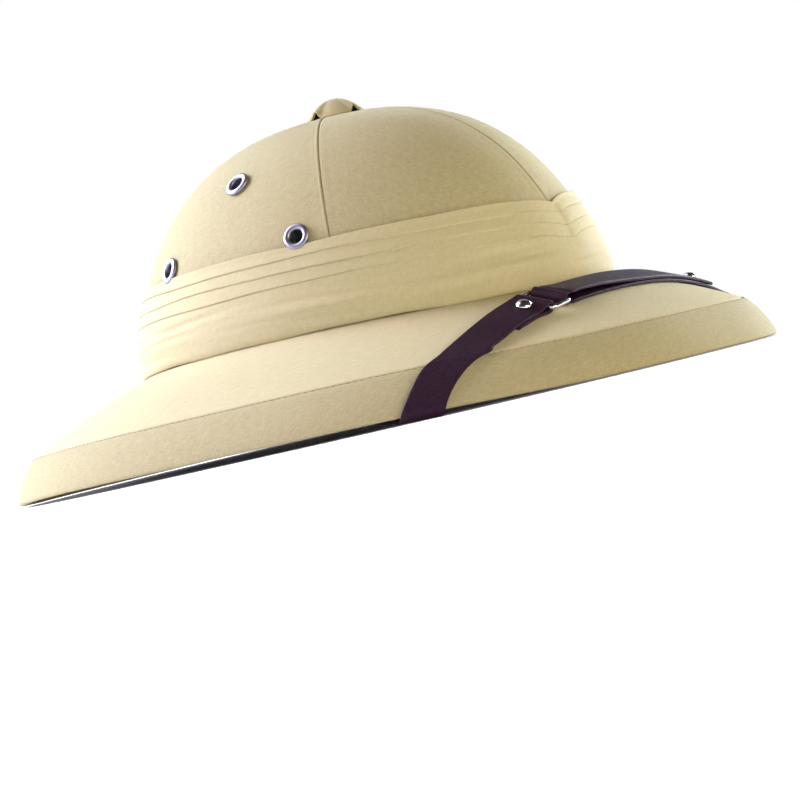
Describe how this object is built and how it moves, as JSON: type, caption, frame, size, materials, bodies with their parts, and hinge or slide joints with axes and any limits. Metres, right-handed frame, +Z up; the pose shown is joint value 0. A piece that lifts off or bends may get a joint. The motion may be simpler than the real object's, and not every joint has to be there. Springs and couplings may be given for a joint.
{
  "type": "pith helmet",
  "caption": "Cloth-covered pith sun helmet with a pleated puggaree, rolled eyelets, a vent cap and a leather chin strap laid over the brim.",
  "frame": {"origin": "middle of the hat's box, on the plane the rim rests on", "axes": "+Z up, the front of the hat towards -Y, the wearer's right towards -X"},
  "size_m": [0.29, 0.344, 0.1432],
  "materials": {
    "khaki_cloth": "matt cotton twill",
    "khaki_wrap": "matt cotton twill, a little lighter",
    "pith_tan": "moulded pith, matt",
    "white_lining": "matt pale cotton",
    "strap_leather": "grained, semi-gloss",
    "chrome": "polished",
    "nickel": "worn nickel plate"
  },
  "bodies": {
    "root": {"pith_front_left": "pith_tan", "pith_side_left": "pith_tan", "pith_rear_left": "pith_tan", "pith_rear_right": "pith_tan", "pith_side_right": "pith_tan", "pith_front_right": "pith_tan", "crown_front_left": "khaki_cloth", "crown_front_right": "khaki_cloth", "crown_rear_left": "khaki_cloth", "crown_rear_right": "khaki_cloth", "brim_cover": "khaki_cloth", "rim_binding": "khaki_cloth", "brim_lining": "white_lining", "puggaree": "khaki_wrap", "vent_cap": "khaki_cloth", "eyelet_right_front": "nickel", "eyelet_right_top": "nickel", "eyelet_right_rear": "nickel", "eyelet_left_front": "nickel", "eyelet_left_top": "nickel", "eyelet_left_rear": "nickel", "strap_near": "strap_leather", "strap_far": "strap_leather", "strap_ring": "chrome", "rivet_near": "chrome", "rivet_far": "chrome", "strap_pin_right": "nickel", "strap_pin_left": "nickel"}
  },
  "joints": []
}
